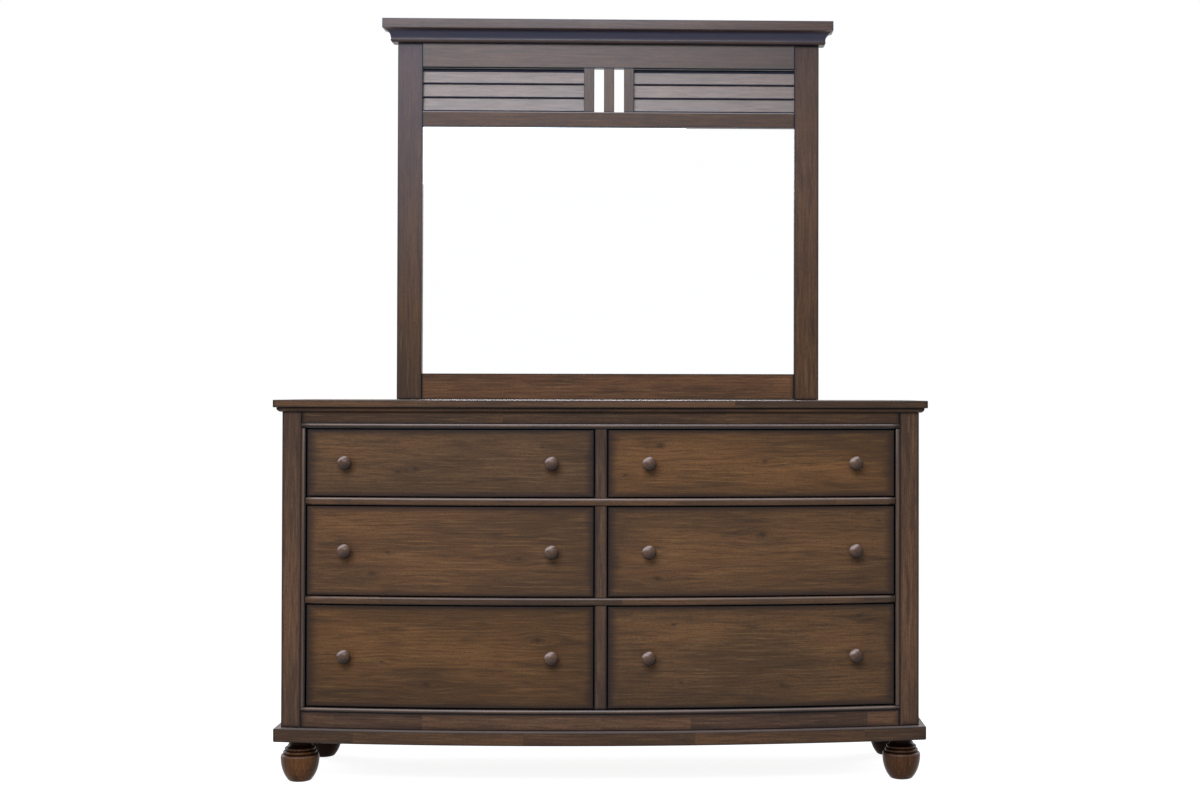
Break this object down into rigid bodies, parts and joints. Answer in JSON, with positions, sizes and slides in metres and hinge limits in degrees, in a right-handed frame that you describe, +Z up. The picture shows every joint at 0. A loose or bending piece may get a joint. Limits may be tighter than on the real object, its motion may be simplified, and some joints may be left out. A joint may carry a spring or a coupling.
{
  "type": "dresser with mirror",
  "caption": "Bow-front dark wood dresser on turned feet with a double stack of drawers, and a framed mirror with a louvred crest standing on its top.",
  "frame": {"origin": "on the floor, under the middle of the whole piece's box, midway between the tips of the knobs and the backs of the mirror's battens", "axes": "+Z up, -Y towards the person at the drawers, +X to that person's right"},
  "size_m": [1.626, 0.5236, 1.9738],
  "materials": {
    "case_wood": "dark brown stain under satin lacquer, long straight grain",
    "drawer_front_wood": "brown stain under satin lacquer, knotty figured grain, edges burnished darker",
    "mirror_frame_wood": "dark brown stain under satin lacquer",
    "turned_foot_wood": "dark brown stain under satin lacquer, turned",
    "knob_wood": "dark brown lacquer with a soft shine, turned",
    "drawer_lining": "plain sanded softwood",
    "plywood": "plain sanded plywood",
    "batten_wood": "dark stained, unpolished",
    "silvered_glass": "silvered float glass"
  },
  "bodies": {
    "root": {"back_panel": "plywood", "bottom_rail": "case_wood", "case_bottom": "plywood", "centre_mullion": "mirror_frame_wood", "centre_partition": "case_wood", "cornice": "mirror_frame_wood", "front_left_foot": "turned_foot_wood", "front_right_foot": "turned_foot_wood", "left_front_post": "case_wood", "left_louvre_panel": "mirror_frame_wood", "left_mirror_support": "batten_wood", "left_side_panel": "case_wood", "lower_left_dust_frame": "drawer_lining", "lower_middle_rail": "case_wood", "lower_right_dust_frame": "drawer_lining", "mirror_backboard": "plywood", "mirror_bottom_rail": "mirror_frame_wood", "mirror_glass": "silvered_glass", "mirror_left_stile": "mirror_frame_wood", "mirror_middle_rail": "mirror_frame_wood", "mirror_right_stile": "mirror_frame_wood", "mirror_top_rail": "mirror_frame_wood", "plinth_frame": "case_wood", "rear_left_foot": "turned_foot_wood", "rear_right_foot": "turned_foot_wood", "right_front_post": "case_wood", "right_louvre_panel": "mirror_frame_wood", "right_mirror_support": "batten_wood", "right_side_panel": "case_wood", "top_moulding": "case_wood", "top_panel": "case_wood", "top_rail": "case_wood", "upper_left_dust_frame": "drawer_lining", "upper_middle_rail": "case_wood", "upper_right_dust_frame": "drawer_lining"},
    "bottom_left_drawer": {"bottom_left_drawer_box": "drawer_lining", "bottom_left_drawer_front": "drawer_front_wood", "bottom_left_drawer_inner_knob": "knob_wood", "bottom_left_drawer_outer_knob": "knob_wood"},
    "bottom_right_drawer": {"bottom_right_drawer_box": "drawer_lining", "bottom_right_drawer_front": "drawer_front_wood", "bottom_right_drawer_inner_knob": "knob_wood", "bottom_right_drawer_outer_knob": "knob_wood"},
    "middle_left_drawer": {"middle_left_drawer_box": "drawer_lining", "middle_left_drawer_front": "drawer_front_wood", "middle_left_drawer_inner_knob": "knob_wood", "middle_left_drawer_outer_knob": "knob_wood"},
    "middle_right_drawer": {"middle_right_drawer_box": "drawer_lining", "middle_right_drawer_front": "drawer_front_wood", "middle_right_drawer_inner_knob": "knob_wood", "middle_right_drawer_outer_knob": "knob_wood"},
    "top_left_drawer": {"top_left_drawer_box": "drawer_lining", "top_left_drawer_front": "drawer_front_wood", "top_left_drawer_inner_knob": "knob_wood", "top_left_drawer_outer_knob": "knob_wood"},
    "top_right_drawer": {"top_right_drawer_box": "drawer_lining", "top_right_drawer_front": "drawer_front_wood", "top_right_drawer_inner_knob": "knob_wood", "top_right_drawer_outer_knob": "knob_wood"}
  },
  "joints": [
    {"name": "bottom_left_drawer_slide", "type": "slide", "parent": "root", "child": "bottom_left_drawer", "axis": [0, -1, 0], "range_m": [0, 0.3]},
    {"name": "bottom_right_drawer_slide", "type": "slide", "parent": "root", "child": "bottom_right_drawer", "axis": [0, -1, 0], "range_m": [0, 0.3]},
    {"name": "middle_left_drawer_slide", "type": "slide", "parent": "root", "child": "middle_left_drawer", "axis": [0, -1, 0], "range_m": [0, 0.3]},
    {"name": "middle_right_drawer_slide", "type": "slide", "parent": "root", "child": "middle_right_drawer", "axis": [0, -1, 0], "range_m": [0, 0.3]},
    {"name": "top_left_drawer_slide", "type": "slide", "parent": "root", "child": "top_left_drawer", "axis": [0, -1, 0], "range_m": [0, 0.3]},
    {"name": "top_right_drawer_slide", "type": "slide", "parent": "root", "child": "top_right_drawer", "axis": [0, -1, 0], "range_m": [0, 0.3]}
  ]
}
